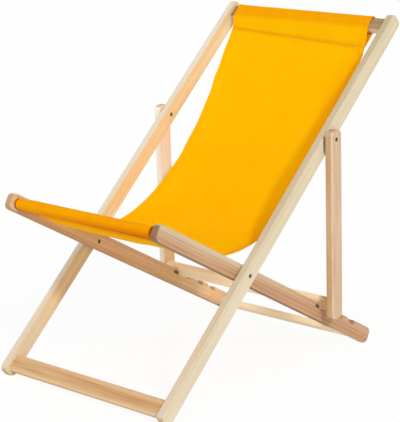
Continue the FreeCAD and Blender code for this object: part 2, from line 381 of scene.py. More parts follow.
@dataclass(frozen=True)
class Timber:
    """Oiled softwood, with long straight figure, fine fibres and darker end grain.

    The first tone is that of the wide faces. The narrow faces' tone is partly painted
    light, lighter or darker than the wide faces by how the light falls on them, and a
    painted highlight spreads it over the upper part of the wide faces. A reach or an
    end is a stretch of the board from its middle, and a turn is how squarely the
    surface faces a side. The tail is the part of a board towards one end that has
    another colour, with its shares on the wide and the narrow faces: painted shade
    where another part shades the board, painted light where light from the cloth falls
    on it, and a plain darker or paler stretch on the long rails. The edges take a
    darker tint by default and a painted highlight where their colour is pale. The
    faces that look down get painted shade. The gap shade is a small dark mark,
    painted shade of the narrow gap where another board meets this one.
    """

    tone: Tone
    # The narrow faces' tone is partly painted light: lighter or darker than the wide faces by how
    # the light falls on them.
    narrow_lit_tone: Tone
    narrow_turn: Pair = (0.6, 0.9)
    figure: float = 0.3
    flame: float = 0.5
    thin_share: Pair = (-0.12, 0.22)
    fibre_share: Pair = (-0.1, 0.14)
    drift_share: Pair = (-0.16, 0.22)
    ring_gap: float = 0.0046
    ring_rate: float = 0.02
    ring_sway: float = 0.006
    ring_power: float = 2.2
    bend: Pair = (3.0, 1.0)
    bend_rate: float = 1.2
    heart: Pair = (0.022, 0.048)
    heart_step: Pair = (0.011, 0.013)
    margin: float = 0.0
    margin_reach: Pair = (0.008, 0.021)
    # Painted highlight: the narrow tone spread over the upper part of the wide faces.
    crown_highlight: float = 0.0
    crown_reach: Pair = (-0.009, 0.022)
    crown_end: Pair = (-0.2, 0.1)
    crown_left: float = 0.25
    fleck_range: Pair = (0.66, 0.8)
    fleck_share: float = 0.3
    # Eased edges: a darker tint by default, a painted highlight where the edge colour is pale,
    # broken up by a noise.
    edge_share: float = 0.3
    edge_turn: Pair = (0.3, 0.6)
    edge_tint_and_highlight: Colour = linear(178, 140, 100)
    edge_patch_scale: float = 28.0
    edge_patch_range: Pair = (0.3, 0.6)
    edge_patch_share: Pair = (0.35, 1.0)
    # Painted shade on the faces that look down.
    under_shade_share: float = 0.2
    under_turn: Pair = (-0.5, -0.2)
    under_reach: Pair = (-0.014, -0.008)
    under_end: Pair = (1.0, 1.1)
    under_shade_colour: Colour = linear(128, 90, 60)
    end_share: float = 0.6
    end_turn: Pair = (0.55, 0.9)
    end_depth: Pair = (0.034, 0.03)
    end_colour: Colour = linear(150, 118, 86)
    pores: Pair = (800.0, 2.0)
    pore_range: Pair = (0.4, 1.3)
    pore_share: float = 0.8
    # A stretch towards one end with another colour: painted shade on some boards, painted light on
    # another, a plain darker or paler stretch on the long rails.
    tail: Pair = (0.0, 1.0)
    tail_share: Pair = (0.0, 0.0)
    tail_tone_light_shade: Colour = linear(228, 214, 194)
    # Painted shade of the narrow gap where another board meets this one.
    gap_shade: Pair = (0.0, 0.012)
    gap_shade_size: Pair = (0.011, 0.0045)
    gap_shade_turn: float = 0.0
    gap_shade_share: float = 0.0
    gap_shade_face: Pair = (0.3, 0.7)
    gap_shade_fade: Pair = (0.6, 1.1)
    gap_shade_power: float = 4.0
    gap_shade_colour: Colour = linear(52, 38, 26)
    rough_range: Pair = (0.6, 1.4)
    rough: Pair = (0.5, 0.7)
    shine: float = 0.25
    fibre_height: float = 0.7
    ring_height: float = -0.3
    bump: float = 0.00012

    def rings(self, shade: BoardShader, seed: int) -> Socket:
        """Growth rings, dark towards their outer side.

        Args:
            shade: Material that is being built.
            seed: Number that sets how far off the middle of the tree lies.

        Returns:
            A value from 0 to 1.
        """
        along, across, through = shade.board
        bend = shade.join(shade.math("MULTIPLY", along, self.bend_rate), across, through)
        over = self.heart[0] + self.heart_step[0] * (seed % 4)
        deep = self.heart[1] + self.heart_step[1] * (seed % 3)
        swing = (over - self.ring_sway, over + self.ring_sway)
        sway = shade.level(shade.noise(bend, *self.bend), WHOLE, swing)
        inputs = {
            "Vector": shade.join(
                shade.math("MULTIPLY", along, self.ring_rate),
                shade.math("ADD", across, sway),
                shade.math("ADD", through, deep),
            ),
            "Scale": WAVE_PERIOD / self.ring_gap,
            "Distortion": 0.7,
            "Detail": 2.0,
            "Detail Scale": 1.2,
        }
        kind = {"wave_type": "RINGS", "rings_direction": "X", "wave_profile": "SAW"}
        return shade.math("POWER", shade.add("TexWave", inputs, **kind).outputs[1], self.ring_power)

    def figured(self, shade: BoardShader, late: Socket) -> Socket:
        """How much of the grain's colour shows.

        Args:
            shade: Material that is being built.
            late: The growth rings.

        Returns:
            A share from 0 to 1.
        """
        shares = {
            Grain.WIDE: (0.0, self.flame),
            Grain.THIN: self.thin_share,
            Grain.FIBRES: self.fibre_share,
            Grain.DRIFT: self.drift_share,
        }
        streaks = [shade.level(shade.grain[kind], MIDDLE, span) for kind, span in shares.items()]
        share = shade.math("ADD", shade.math("MULTIPLY", late, self.figure), *streaks)
        if self.margin:
            side = shade.math("ABSOLUTE", shade.side)
            paler = shade.level(side, self.margin_reach, (0.0, self.margin))
            share = shade.math("SUBTRACT", share, paler)
        return shade.level(share, WHOLE)

    def toned(self, shade: BoardShader, share: Socket, tone: Tone, tail_share: float) -> Socket:
        """Colour of the wide or of the narrow faces, with the tail.

        Args:
            shade: Material that is being built.
            share: How much of the grain's colour shows.
            tone: Tone of these faces.
            tail_share: How much of the tail's colour they have.

        Returns:
            The colour.
        """
        colour = shade.mix(share, *tone.value)
        # The tail: another colour towards one end, painted shade on some boards and painted light
        # on another.
        if tail_share:
            tail = shade.level(shade.run, self.tail, (0.0, tail_share))
            colour = shade.mix(tail, colour, self.tail_tone_light_shade)
        return colour

    def faces(self, shade: BoardShader, share: Socket) -> Socket:
        """Colour of all faces. The narrow ones' tone, partly painted light, may spread over
        the upper part of the wide ones as a painted highlight.

        Args:
            shade: Material that is being built.
            share: How much of the grain's colour shows.

        Returns:
            The colour.
        """
        colour = self.toned(shade, share, self.tone, self.tail_share[0])
        if self.narrow_lit_tone is self.tone:
            return colour
        # Painted highlight over the upper part of the wide faces; the narrow tone itself is partly
        # painted light.
        crown_highlight = shade.math(
            "MULTIPLY",
            shade.level(shade.side, self.crown_reach, (0.0, self.crown_highlight)),
            shade.level(shade.run, self.crown_end, (1.0, self.crown_left)),
        )
        turned = shade.math("MAXIMUM", shade.level(shade.facing[1], self.narrow_turn), crown_highlight)
        narrow = self.toned(shade, share, self.narrow_lit_tone, self.tail_share[1])
        return shade.mix(turned, colour, narrow)

    def worn(self, shade: BoardShader, colour: Socket) -> Socket:
        """Colour with dark flecks, tinted edges with a painted highlight where their colour is
        pale, and painted shade on the faces that look down.

        Args:
            shade: Material that is being built.
            colour: Colour of the faces.

        Returns:
            The worn colour.
        """
        flecks = shade.level(shade.grain[Grain.FLECKS], self.fleck_range, (0.0, self.fleck_share))
        colour = shade.mix(flecks, colour, self.tone.value[1], "MULTIPLY")
        # Eased edges: a darker tint by default, a painted highlight where the edge colour is pale.
        corner = shade.math("MINIMUM", *shade.facing[1:])
        edge = shade.math(
            "MULTIPLY",
            shade.level(corner, self.edge_turn, (0.0, self.edge_share)),
            shade.level(shade.noise(shade.spot, self.edge_patch_scale), self.edge_patch_range, self.edge_patch_share),
        )
        colour = shade.mix(edge, colour, self.edge_tint_and_highlight)
        # Painted shade on the faces that look down.
        under = shade.math(
            "MULTIPLY",
            shade.level(shade.normal[1], self.under_turn, (self.under_shade_share, 0.0)),
            shade.level(shade.side, self.under_reach, (1.0, 0.0)),
            shade.level(shade.run, self.under_end, (1.0, 0.0)),
        )
        return shade.mix(under, colour, self.under_shade_colour)

    def ended(self, shade: BoardShader, colour: Socket, late: Socket, half: float) -> Socket:
        """Colour with the end grain.

        Args:
            shade: Material that is being built.
            colour: Colour of the rest of the board.
            late: The growth rings.
            half: Half the board's length.

        Returns:
            The colour.
        """
        start = tuple(half - depth for depth in self.end_depth)
        end = shade.math(
            "MULTIPLY",
            shade.level(shade.facing[0], self.end_turn, (0.0, self.end_share)),
            shade.level(shade.math("ABSOLUTE", shade.run), start),
        )
        pores = shade.math("ADD", shade.noise(shade.spot, *self.pores), late)
        pores = shade.level(pores, self.pore_range, (0.0, self.pore_share))
        return shade.mix(end, colour, shade.mix(pores, self.end_colour, self.tone.value[1]))

    def with_gap_shade(self, shade: BoardShader, colour: Socket) -> Socket:
        """Colour with the painted shade of the narrow gap where another board meets this one.

        Args:
            shade: Material that is being built.
            colour: Colour without the mark.

        Returns:
            The marked colour.
        """
        bend = math.radians(self.gap_shade_turn)
        ways = ((math.cos(bend), math.sin(bend), 0), (-math.sin(bend), math.cos(bend), 0))
        off = shade.offset(shade.join(shade.run, shade.side, 0.0), Vector((*self.gap_shade, 0)))
        powers = []
        for way, size in zip(ways, self.gap_shade_size):
            reach = shade.math("ABSOLUTE", shade.dot(off, Vector(way) / size))
            powers.append(shade.math("POWER", reach, self.gap_shade_power))
        away = shade.math("POWER", shade.math("ADD", *powers), 1 / self.gap_shade_power)
        mark = shade.math(
            "MULTIPLY",
            shade.level(away, self.gap_shade_fade, (self.gap_shade_share, 0.0)),
            shade.level(shade.normal[2], self.gap_shade_face),
        )
        return shade.mix(mark, colour, self.gap_shade_colour)

    def material(self, name: str, place: Board, seed: int) -> Material:
        """Finish for one board.

        Args:
            name: Name of the material.
            place: Where the board lies.
            seed: Number that makes this board's figure its own.

        Returns:
            The finished material.
        """
        shade = BoardShader(name, place, seed)
        late = self.rings(shade, seed)
        colour = self.worn(shade, self.faces(shade, self.figured(shade, late)))
        colour = self.ended(shade, colour, late, place.half)
        # Painted shade of the narrow gap where another board meets this one.
        if self.gap_shade_share:
            colour = self.with_gap_shade(shade, colour)
        fibres, wide = shade.grain[Grain.FIBRES], shade.grain[Grain.WIDE]
        rough = shade.level(shade.math("ADD", fibres, wide), self.rough_range, self.rough)
        heights = ((fibres, self.fibre_height), (late, self.ring_height))
        height = shade.math("ADD", *(shade.math("MULTIPLY", *pair) for pair in heights))
        surface = {"Base Color": colour, "Roughness": rough, "Specular IOR Level": self.shine}
        return shade.finish(surface, height, self.bump)


@dataclass(frozen=True)
class Canvas:
    """Plain-woven cloth that lets a little light through, more orange where it is stitched, with
    painted shade where it lies on the bars, in its folds and by the right hem.

    Noises are given by scale and detail, and stretches along the cloth from the
    place where the back gives way to the seat. The rim is painted shade beside the
    right hem, where the right rail's shadow falls and the cloth turns from the light.
    """

    # The back is painted a little paler than the seat: painted light.
    lit_back_colour: Colour = linear(255, 191, 0)
    seat_colour: Colour = linear(255, 185, 0)
    turn_reach: Pair = (-0.16, 0.1)
    # Deeper tone for the mottle and the stitching, and for painted shade on the bars, at the seams
    # and in the folds.
    deep_tone_and_shade: Colour = linear(234, 129, 0)
    band_range: Pair = (0.0, 0.8)
    # Painted shade in the fold under the front bar, at the front sleeve's ends and on the cloth
    # behind it.
    fold_shade_colour: Colour = linear(150, 78, 0)
    fold_range: Pair = (0.8, 1.3)
    # The rim: painted shade beside the right hem, where the right rail's shadow falls and the cloth
    # turns from the light.
    rim_shade_colour: Colour = linear(250, 146, 0)
    rim_reach: Pair = (0.142, 0.212)
    rim_share: float = 0.8
    rim_start: Pair = (-0.45, -0.15)
    rim_end: Pair = (0.1, 0.2)
    rim_left: float = 0.1
    thread_gap: float = 0.0011
    weave_share: float = 0.05
    weave_height: float = 0.6
    slub_rates: tuple[tuple[float, float, float], ...] = ((1400.0, 45.0, 0.0), (45.0, 1400.0, 3.0))
    slub_range: Pair = (0.5, 0.8)
    slub_share: float = 0.11
    slub_height: float = 0.25
    cloud: Pair = (7.0, 4.0)
    cloud_range: Pair = (0.3, 0.72)
    cloud_share: float = 0.09
    patch: Pair = (46.0, 3.0)
    patch_range: Pair = (0.35, 0.75)
    patch_share: float = 0.05
    rough_range: Pair = (0.2, 1.6)
    rough: Pair = (0.72, 0.92)
    shine: float = 0.02
    sheen: float = 0.04
    sheen_rough: float = 0.5
    sheen_colour: Colour = linear(255, 190, 20)
    light_through: float = 0.25
    light_reach: tuple[float, float, float] = (1.0, 0.7, 0.08)
    light_depth: float = 0.0035
    bump: float = 0.0002

    def slubs(self, shade: Shader, across: Socket, along: Socket) -> list[Socket]:
        """Thicker stretches of the threads, along the cloth and over it.

        Args:
            shade: Material that is being built.
            across: Place over the flat cloth.
            along: Place along the flat cloth.

        Returns:
            Two values from 0 to 1.
        """
        done = []
        for over, down, layer in self.slub_rates:
            places = [shade.math("MULTIPLY", *pair) for pair in ((across, over), (along, down))]
            done.append(shade.noise(shade.join(*places, layer), detail=2.0))
        return done

    def plain(self, shade: Shader, across: Socket, past: Socket) -> Socket:
        """Colour of the single cloth, with the back painted paler than the seat as painted
        light, and the rim's painted shade.

        Args:
            shade: Material that is being built.
            across: Place over the flat cloth.
            past: Place along it from where the back gives way to the seat.

        Returns:
            The colour.
        """
        # The back is a little paler than the seat: painted light.
        colour = shade.mix(shade.level(past, self.turn_reach), self.lit_back_colour, self.seat_colour)
        # The rim is painted shade beside the right hem.
        rim = shade.math(
            "MULTIPLY",
            shade.level(across, self.rim_reach, (0.0, self.rim_share)),
            shade.level(past, self.rim_start, (self.rim_left, 1.0)),
            shade.level(past, self.rim_end, (1.0, self.rim_left)),
        )
        return shade.mix(rim, colour, self.rim_shade_colour)

    def material(self, name: str, turn: float) -> Material:
        """Finish for the sling, over its own flat measure in metres.

        Args:
            name: Name of the material.
            turn: Place along the cloth where the back gives way to the seat.

        Returns:
            The finished material.
        """
        shade = Shader(bpy.data.materials.new(name))
        flat = shade.add("UVMap", {}, uv_map="flat").outputs[0]
        across, along = shade.add("SeparateXYZ", {0: flat}).outputs[:2]
        # This value holds the stitching's deeper colour and the painted shade and light of the
        # sling.
        sewing_and_shade = shade.add("Attribute", {}, attribute_name="sewing_and_shade").outputs["Fac"]
        turns = 2 * math.pi / self.thread_gap
        counts = [shade.math("MULTIPLY", way, turns) for way in (across, along)]
        threads = [shade.math("SINE", count) for count in counts]
        weave = shade.level(shade.math("MULTIPLY", *threads), (-1.0, 1.0))
        slubs = self.slubs(shade, across, along)
        cloud = shade.noise(flat, *self.cloud)
        dull = shade.math(
            "ADD",
            shade.level(cloud, self.cloud_range, (0.0, self.cloud_share)),
            shade.level(shade.noise(flat, *self.patch), self.patch_range, (0.0, self.patch_share)),
            *(shade.level(slub, self.slub_range, (0.0, self.slub_share)) for slub in slubs),
            shade.math("MULTIPLY", weave, self.weave_share),
            sewing_and_shade,
        )
        colour = self.plain(shade, across, shade.math("SUBTRACT", along, turn))
        # The deeper tone takes in the mottle, the stitching and painted shade; the fold colour only
        # painted shade.
        colour = shade.mix(shade.level(dull, self.band_range), colour, self.deep_tone_and_shade)
        colour = shade.mix(shade.level(dull, self.fold_range), colour, self.fold_shade_colour)
        heights = [(weave, self.weave_height), *((slub, self.slub_height) for slub in slubs)]
        height = shade.math("ADD", *(shade.math("MULTIPLY", *pair) for pair in heights))
        surface = {
            "Base Color": colour,
            "Roughness": shade.level(shade.math("ADD", weave, cloud), self.rough_range, self.rough),
            "Specular IOR Level": self.shine,
            "Sheen Weight": self.sheen,
            "Sheen Roughness": self.sheen_rough,
            "Sheen Tint": self.sheen_colour,
            "Subsurface Weight": self.light_through,
            "Subsurface Radius": self.light_reach,
            "Subsurface Scale": self.light_depth,
        }
        return shade.finish(surface, height, self.bump)


@dataclass(frozen=True)
class Steel:
    """Dark, dull bolt metal. Noises are given by scale and detail."""

    dark: Colour = linear(74, 58, 46)
    light: Colour = linear(124, 102, 84)
    stain: Pair = (420.0, 4.0)
    stain_range: Pair = (0.35, 0.7)
    grit: Pair = (2600.0, 2.0)
    rough: Pair = (0.38, 0.62)
    metal: float = 0.75
    bump: float = 0.00006

    def material(self, name: str) -> Material:
        """Finish for bolts, nuts and washers.

        Args:
            name: Name of the material.

        Returns:
            The finished material.
        """
        shade = Shader(bpy.data.materials.new(name))
        spot = shade.add("TexCoord", {}).outputs["Object"]
        stain = shade.level(shade.noise(spot, *self.stain), self.stain_range)
        grit = shade.noise(spot, *self.grit)
        surface = {
            "Base Color": shade.mix(stain, self.dark, self.light),
            "Metallic": self.metal,
            "Roughness": shade.level(grit, MIDDLE, self.rough),
        }
        return shade.finish(surface, grit, self.bump)


@dataclass(frozen=True)
class Thread:
    """Twisted sewing thread, a little deeper in colour than the cloth."""

    pale: Colour = linear(240, 168, 14)
    deep: Colour = linear(206, 128, 6)
    twist: Pair = (1900.0, 1.0)
    fade: Pair = (30.0, 2.0)
    pale_range: Pair = (0.7, 1.3)
    rough: Pair = (0.6, 0.85)
    bump: float = 0.0001

    def material(self, name: str) -> Material:
        """Finish for the stitching.

        Args:
            name: Name of the material.

        Returns:
            The finished material.
        """
        shade = Shader(bpy.data.materials.new(name))
        spot = shade.add("TexCoord", {}).outputs["Object"]
        twist = shade.noise(spot, *self.twist)
        share = shade.math("ADD", twist, shade.noise(spot, *self.fade))
        colour = shade.mix(shade.level(share, self.pale_range), self.deep, self.pale)
        rough = shade.level(twist, MIDDLE, self.rough)
        return shade.finish({"Base Color": colour, "Roughness": rough}, twist, self.bump)


def dress(piece: Piece, material: Material) -> None:
    """Give a piece its finish.

    Args:
        piece: Piece to dress.
        material: Its finish.
    """
    if piece.material_slots:
        for place in piece.material_slots:
            place.material = material
    else:
        piece.data.materials.append(material)


@dataclass
class TimberFrame:
    """One of the chair's hinged frames: two rails and the bars between them."""

    name: str
    line: SideLine
    seed: int
    rails: dict[str, Timber]
    bars: dict[str, Timber]

    def build(self, nodes: dict[str, Piece]) -> list[Piece]:
        """Dress the frame's rails and bars.

        Args:
            nodes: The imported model's pieces by name.

        Returns:
            The dressed pieces.
        """
        done = []
        for name, timber in {**self.rails, **self.bars}.items():
            along = self.line.along() if name in self.rails else Vector((1, 0, 0))
            across = self.line.across() if name in self.rails else self.line.along()
            place = Board.measure(nodes[name], along, across)
            material = timber.material(name + "_wood", place, self.seed + len(done))
            dress(nodes[name], material)
            done.append(nodes[name])
        return done


@dataclass
class Hardware:
    """Bolts, nuts and washers of the four pivots."""

    words: tuple[str, ...] = ("_bolt_", "_nut_", "_washer_")

    def build(self, nodes: dict[str, Piece]) -> list[Piece]:
        """Dress every fastener.

        Args:
            nodes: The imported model's pieces by name.

        Returns:
            The dressed pieces.
        """
        metal = Steel().material("bolt_metal")
        done = [piece for name, piece in nodes.items() if any(word in name for word in self.words)]
        for piece in done:
            dress(piece, metal)
        return done


@dataclass(frozen=True)
class Straight:
    """Straight stretch of the cloth's side view."""

    start: Vector
    end: Vector

    def length(self) -> float:
        """Length of the stretch."""
        return (self.end - self.start).length

    def at(self, distance: float) -> tuple[Vector, Vector]:
        """Point and direction of travel at a distance from the start."""
        way = (self.end - self.start).normalized()
        return self.start + way * distance, way


@dataclass(frozen=True)
class Turn:
    """Round stretch of the cloth's side view. Its angles are in radians."""

    centre: Vector
    radius: float
    start: float
    sweep: float

    def length(self) -> float:
        """Length of the stretch."""
        return abs(self.radius * self.sweep)

    def at(self, distance: float) -> tuple[Vector, Vector]:
        """Point and direction of travel at a distance from the start.

        Args:
            distance: How far along the stretch.

        Returns:
            The point, and the unit vector of travel there.
        """
        sign = 1 if self.sweep > 0 else -1
        out = heading(self.start + sign * distance / self.radius)
        return self.centre + out * self.radius, right_of(out) * -sign


Stretch = Straight | Turn


def belt(points: list[Vector], radii: list[float]) -> list[Stretch]:
    """Stretches of a belt that goes round circles, anticlockwise, from the first to the last.

    Args:
        points: Middles of the circles, in the side view.
        radii: Their radii.

    Returns:
        The straight and round stretches in order.
    """
    sides = []
    for one, two, r1, r2 in zip(points, points[1:], radii, radii[1:]):
        step = two - one
        lean = math.asin((r1 - r2) / step.length)
        way = step.normalized()
        sides.append(right_of(way) * math.cos(lean) + way * math.sin(lean))
    stretches = []
    for k, side in enumerate(sides):
        ends = [points[i] + side * radii[i] for i in (k, k + 1)]
        stretches.append(Straight(*ends))
        if k + 1 < len(sides):
            start = bearing(side)
            sweep = (bearing(sides[k + 1]) - start) % (2 * math.pi)
            stretches.append(Turn(points[k + 1], radii[k + 1], start, sweep))
    return stretches


def rounded(
    upper: Vector, down: Vector, lower: Vector, rear: Vector, radius: float
) -> list[Stretch]:
    """Two straight stretches that meet in a rounded corner.

    Args:
        upper: Start of the first stretch.
        down: Unit vector from there to the corner.
        lower: End of the second stretch.
        rear: Unit vector from there back to the corner.
        radius: Radius of the corner.

    Returns:
        The straight, the round and the other straight stretch.
    """
    span = lower - upper
    reach = (span.y * rear.z - span.z * rear.y) / (down.y * rear.z - down.z * rear.y)
    corner = upper + down * reach
    half = (math.pi - down.angle(-rear)) / 2
    middle = corner + (-down - rear).normalized() * (radius / math.sin(half))
    leave, meet = (corner - way * (radius / math.tan(half)) for way in (down, rear))
    start = bearing(leave - middle)
    turn = Turn(middle, radius, start, bearing(meet - middle) - start)
    return [Straight(upper, leave), turn, Straight(meet, lower)]


class Part(IntEnum):
    """Place of each part's first stretch in the cloth's side view, after the upper flap."""

    HEAD_SLEEVE = 1
    HANG = 10
    FRONT_SLEEVE = 13
    FRONT_FLAP = 22


class Seam(Enum):
    """Way that a row of stitching runs."""

    SIDE = "along a side hem"
    OVER = "over the width"


@dataclass(frozen=True)
class Ripple:
    """Unevenness of the cloth: its waves in a metre over and along it, its layer and its height."""

    over: float
    along: float
    layer: float
    height: float

    def at(self, x: float, distance: float) -> float:
        """Height of the cloth at a place."""
        spot = Vector((x * self.over, distance * self.along, self.layer))
        return noise.noise(spot) * self.height


@dataclass
class Sling:
    """Cloth hung in a sleeve on the head bar and another on the front bar, with hems and stitching.

    Places over the width go from -1 on the left to 1 on the right, and distances
    along the cloth from its upper end to its front one. The head seam, the turns, the
    sag, the hem's tint and the reach of the sleeve's ends are given for the left and
    the right side, and the front seam along the seat rail and square to it. The other
    pairs are where a change starts and ends.
    """

    back: SideLine
    seat: SideLine
    # The bars, and the cloth's slack on the top corner of each.
    bar_width: float = 0.038
    bar_depth: float = 0.020
    head_bar: float = 0.770
    head_round: float = 0.004
    head_top: int = 2
    head_slack: float = 0.0021
    front_bar: float = -0.299
    front_round: float = 0.009
    front_top: int = 3
    front_slack: float = 0.0031
    slack_start: Pair = (0.02, 0.12)
    clear: float = 0.0013
    # The seams behind the bars, the flaps past them and the hanging part.
    head_seam: Pair = (0.723, 0.703)
    head_drop: float = 0.008
    front_seam: Pair = (-0.249, -0.0017)
    seam_gap: float = 0.0011
    flap: float = 0.012
    back_turn: Pair = (11.3, 12.0)
    seat_turn: Pair = (6.2, 4.2)
    sag_radius: Pair = (0.378, 0.382)
    side_steps: int = 400
    # The hollow, its raised sides and the unevenness of the hanging part.
    hollow: float = 0.012
    hollow_power: int = 4
    hollow_end: Pair = (0.74, 0.44)
    hollow_left: float = 0.2
    settle: float = 0.22
    lip: float = 0.006
    lip_start: float = 0.86
    pucker: Ripple = Ripple(62, 9, 1.7, 0.0016)
    pucker_start: float = 0.006
    pucker_reach: float = 0.022
    soft: Ripple = Ripple(9, 4.2, 5.1, 0.0036)
    crease: Ripple = Ripple(26, 5.5, 8.3, 0.0011)
    # The side edges, from the top of the head bar, and how fast the right one returns behind it.
    edge_start: float = 0.065
    right_return: float = 0.55
    left_edge: tuple[Pair, ...] = (
        (0.009, -0.235), (0.06, -0.2315), (0.11, -0.2275), (0.2, -0.2174), (0.26, -0.2088),
        (0.33, -0.2088), (0.42, -0.2175), (0.5, -0.224), (0.6, -0.2248), (0.72, -0.2235),
        (0.9, -0.2205), (1.0, -0.2225), (1.04, -0.2245),
    )
    right_edge: tuple[Pair, ...] = (
        (0.0, 0.205), (0.06, 0.214), (0.09, 0.219), (0.13, 0.219), (0.18, 0.2145), (0.26, 0.21),
        (0.4, 0.2075), (0.8, 0.204), (0.9, 0.206), (1.0, 0.216), (1.04, 0.2235),
    )
    # The mesh, the cloth's thickness and its hems.
    columns: int = 84
    column_power: float = 1.25
    row: float = 0.006
    tight_row: float = 0.0016
    tight_radius: float = 0.05
    width_steps: int = 20
    cloth: float = 0.0012
    hem: float = 0.014
    hem_fold: float = 0.0012
    smooth_angle: float = 50.0
    # The deeper colour of hems and seams, partly painted shade, and the painted light that makes
    # the left hem paler; painted shade on the sleeves, in the fold under the front bar, at the
    # front sleeve's ends and on the cloth behind the front bar.
    hem_light_and_shade: Pair = (-0.15, 0.22)
    hem_fade: Pair = (0.84, 0.96)
    hem_start: Pair = (0.03, 0.23)
    hem_left: float = 0.2
    seam_tint_and_shade: float = 0.28
    seam_fade: Pair = (0.0065, 0.0045)
    sleeve_shade: float = 0.33
    sleeve_fade: Pair = (-0.002, 0.004)
    fold_shade_steps: tuple[tuple[float, float, float], ...] = (
        (0.75, -0.097, -0.063), (0.45, -0.064, -0.044),
    )
    fold_end: Pair = (0.004, 0.013)
    fold_loss: float = 0.9
    sleeve_end_shade: float = 1.5
    end_reach: Pair = (0.016, 0.07)
    below_tint: float = 0.95
    below_fade: Pair = (0.016, 0.048)
    below_reach: float = 0.05
    lean_loss: float = 0.26
    # The stitches, and the short steps that their directions are taken over.
    stitch: float = 0.0034
    stitch_gap: float = 0.0016
    stitch_straight: float = 0.7
    stitch_tip: float = 0.45
    stitch_inset: float = 0.003
    stitch_end: float = 0.004
    seam_inset: float = 0.002
    thread: float = 0.0007
    thread_sides: int = 6
    thread_rise: float = 0.1
    end_facing: float = 0.9
    probes: tuple[Pair, Pair] = ((0.0, 5e-4), (2e-3, 0.0))
    # Where the back gives way to the seat, and where the fold starts and ends, from the pivot.
    turn_share: float = 0.45
    still: tuple[float, float, float] = (0.0, 0.514, 0.480)
    moved: tuple[float, float, float] = (0.0, -0.1944, 0.0710)
    # What is measured when the cloth is laid out.
    outlines: dict[int, list[Stretch]] = field(default_factory=dict, init=False)
    marks: list[float] = field(default_factory=list, init=False)
    main_start: float = field(default=0.0, init=False)
    main_end: float = field(default=0.0, init=False)
    whole: float = field(default=0.0, init=False)
    width: float = field(default=0.0, init=False)

    def corners(self, line: SideLine, along: float, edge: float) -> list[Vector]:
        """Middles of a bar's rounded edges: low and behind first, then anticlockwise.

        Args:
            line: Rail that carries the bar.
            along: Middle of the bar on that rail.
            edge: Radius of the bar's edges.

        Returns:
            The four points.
        """
        a = self.bar_width / 2 - edge
        b = self.bar_depth / 2 - edge
        return [line.spot(along + i * a, j * b) for i, j in ((-1, -1), (1, -1), (1, 1), (-1, 1))]

    def head_sleeve(self, seam: Vector) -> list[Stretch]:
        """Cloth round the head bar.

        Args:
            seam: Where the cloth is sewn together behind the bar.

        Returns:
            The straight and round stretches in order.
        """
        points = self.corners(self.back, self.head_bar, self.head_round)
        radii = [self.head_round + self.clear] * len(points)
        radii[self.head_top] += self.head_slack
        return belt([seam, *points, seam], [self.seam_gap, *radii, self.seam_gap])

    def front_sleeve(self, seam: Vector, part: float) -> list[Stretch]:
        """Cloth round the front bar.

        Args:
            seam: Where the cloth is sewn together behind the bar.
            part: Place over the width, from 0 to 1.

        Returns:
            The straight and round stretches in order.
        """
        points = self.corners(self.seat, self.front_bar, self.front_round)
        slack = self.front_slack * ramp(part, *self.slack_start)
        points[self.front_top] += self.seat.across() * slack
        points = points[2:] + points[:2]
        radii = [self.front_round + self.clear] * len(points)
        return belt([seam, *points, seam], [self.seam_gap, *radii, self.seam_gap])

    def outline(self, across: float) -> list[Stretch]:
        """Cloth's side view from its upper end, round the head bar, down, and round the front bar.

        Args:
            across: Place over the width. The upper seam runs askew, so one side hangs lower.

        Returns:
            The straight and round stretches in order.
        """
        key = round(across * self.side_steps)
        if key not in self.outlines:
            part = (key / self.side_steps + 1) / 2
            pairs = (self.head_seam, self.back_turn, self.seat_turn, self.sag_radius)
            seam, turn_back, turn_seat, sag = (low + (high - low) * part for low, high in pairs)
            head = self.back.spot(seam, -self.head_drop)
            front = self.seat.spot(*self.front_seam)
            down = SideLine(head, self.back.angle + turn_back).along() * -1
            rear = SideLine(front, self.seat.angle - turn_seat).along()
            high, low = self.head_sleeve(head), self.front_sleeve(front, part)
            hang = rounded(high[-1].end, down, low[0].start, rear, sag)
            back_flap = Straight(high[0].start + down * self.flap, high[0].start)
            front_flap = Straight(low[-1].end, low[-1].end + rear * self.flap)
            self.outlines[key] = [back_flap, *high, *hang, *low, front_flap]
        return self.outlines[key]

    def lay_out(self) -> None:
        """Measure the cloth: its parts down its middle, and its mean width."""
        lengths = [stretch.length() for stretch in self.outline(0.0)]
        self.marks = [sum(lengths[:count]) for count in range(len(lengths) + 1)]
        self.main_start, self.main_end = self.marks[Part.HANG], self.marks[Part.FRONT_SLEEVE]
        self.whole = self.marks[-1]
        spots = [self.whole * k / self.width_steps for k in range(self.width_steps + 1)]
        widths = [(self.place(1, spot) - self.place(-1, spot)).length for spot in spots]
        self.width = sum(widths) / len(widths)

    def rows(self) -> list[float]:
        """Rows of the mesh, closer together round the bars.

        Returns:
            Their distances along the cloth.
        """
        marks, done = [0.0], 0.0
        for stretch in self.outline(0.0):
            tight = isinstance(stretch, Turn) and stretch.radius < self.tight_radius
            count = max(2, math.ceil(stretch.length() / (self.tight_row if tight else self.row)))
            marks += [done + stretch.length() * (k + 1) / count for k in range(count)]
            done += stretch.length()
        return marks

    def from_seam(self, distance: float) -> float:
        """Distance from the nearer end of the hanging part."""
        return min(abs(distance - self.main_start), abs(distance - self.main_end))

    def lean(self, across: float) -> float:
        """Share of a shade at a place over the width, whole on the right."""
        return 1 - self.lean_loss * (1 - across)

    def depth(self, across: float, distance: float) -> float:
        """Painted shade: how much deeper the colour is on a bar, in the fold under the front one
        and at its ends.

        Args:
            across: Place over the width.
            distance: How far along the cloth.

        Returns:
            The share of the deeper colour, up to 1.5 in a shaded fold.
        """
